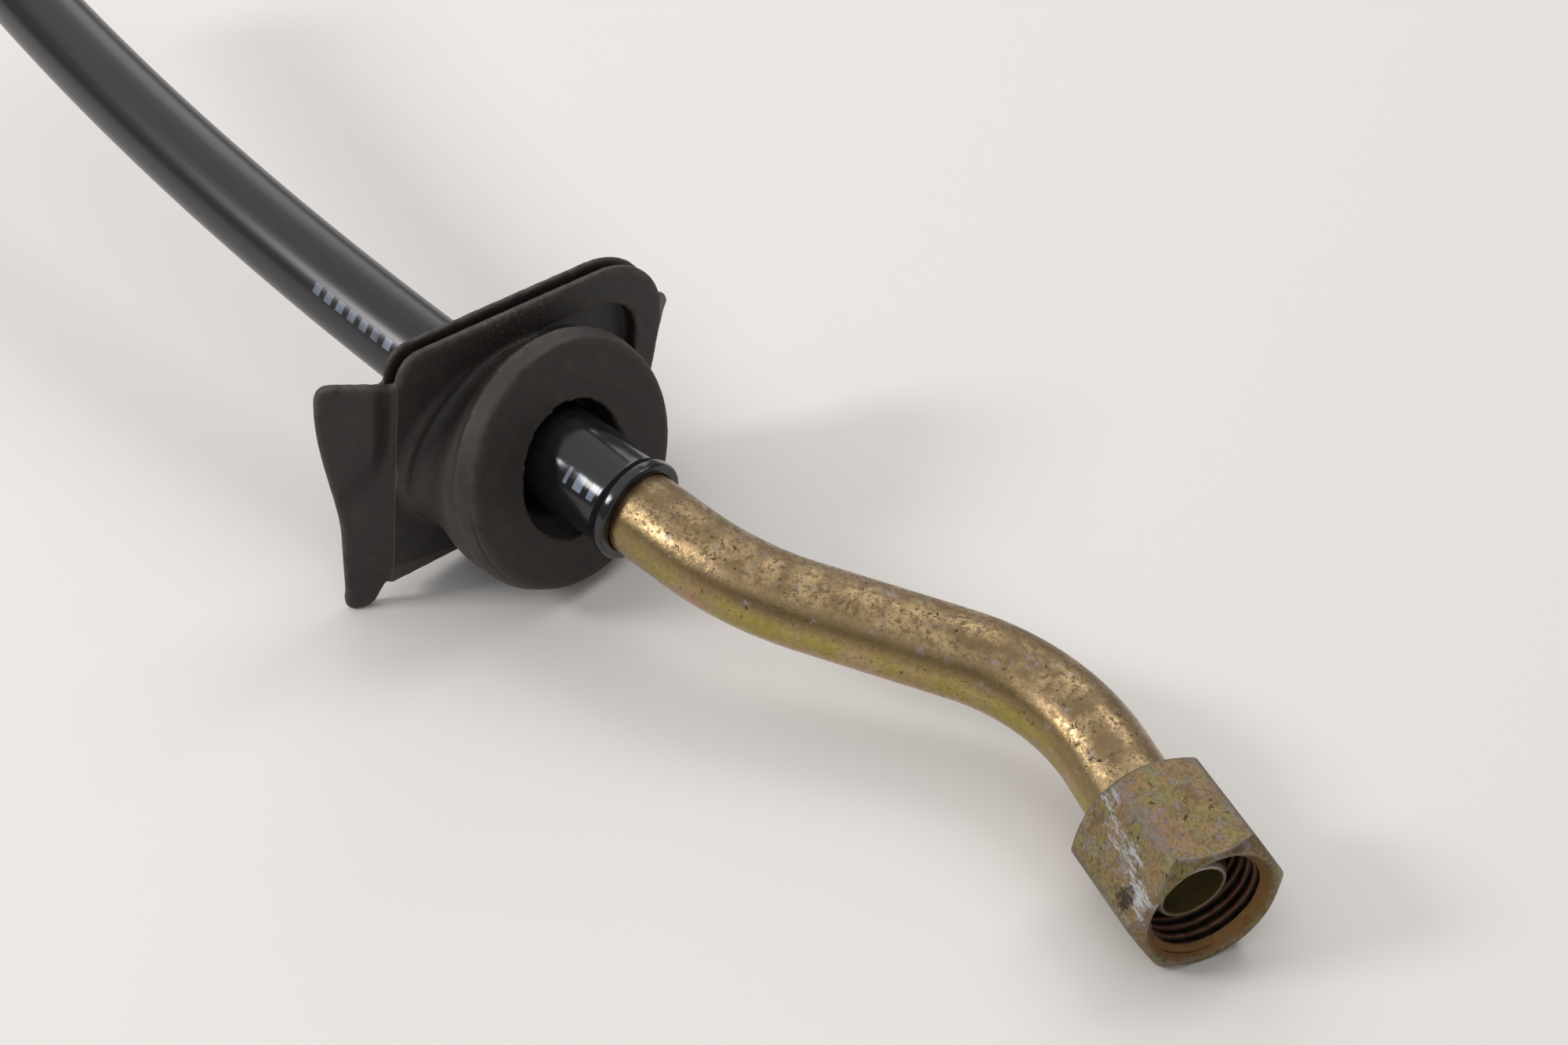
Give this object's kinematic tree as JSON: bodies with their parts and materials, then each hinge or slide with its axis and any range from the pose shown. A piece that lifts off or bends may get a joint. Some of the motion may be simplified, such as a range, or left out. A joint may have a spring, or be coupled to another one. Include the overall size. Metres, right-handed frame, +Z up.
{
  "type": "brake booster vacuum line",
  "caption": "Vacuum line end for a brake booster: plastic line pressed over a bent steel tube with a union nut, and a rubber bulkhead grommet on the line.",
  "frame": {"origin": "on the floor under the middle of the part, as it lies", "axes": "+Z up; +X along the straight run where the steel tube enters the plastic line, from the line to the nut"},
  "size_m": [0.2908, 0.0618, 0.0451],
  "materials": {
    "tube_plating": "zinc plated and yellow chromated, worn and spotted with rust",
    "line_plastic": "extruded black polyamide, half gloss",
    "nut_plating": "zinc plated and yellow chromated, dull with white oxide and worn edges",
    "grommet_rubber": "moulded black rubber, matt and dusty"
  },
  "bodies": {
    "line": {"steel_tube": "tube_plating", "vacuum_line": "line_plastic", "bulkhead_grommet": "grommet_rubber"},
    "nut": {"union_nut": "nut_plating"}
  },
  "joints": [
    {"name": "union_nut_spin", "type": "hinge", "parent": "line", "child": "nut", "pos_m": [0.1283, 0.00549, 0.0095], "axis": [0.915, -0.4035, 0], "continuous": true}
  ]
}
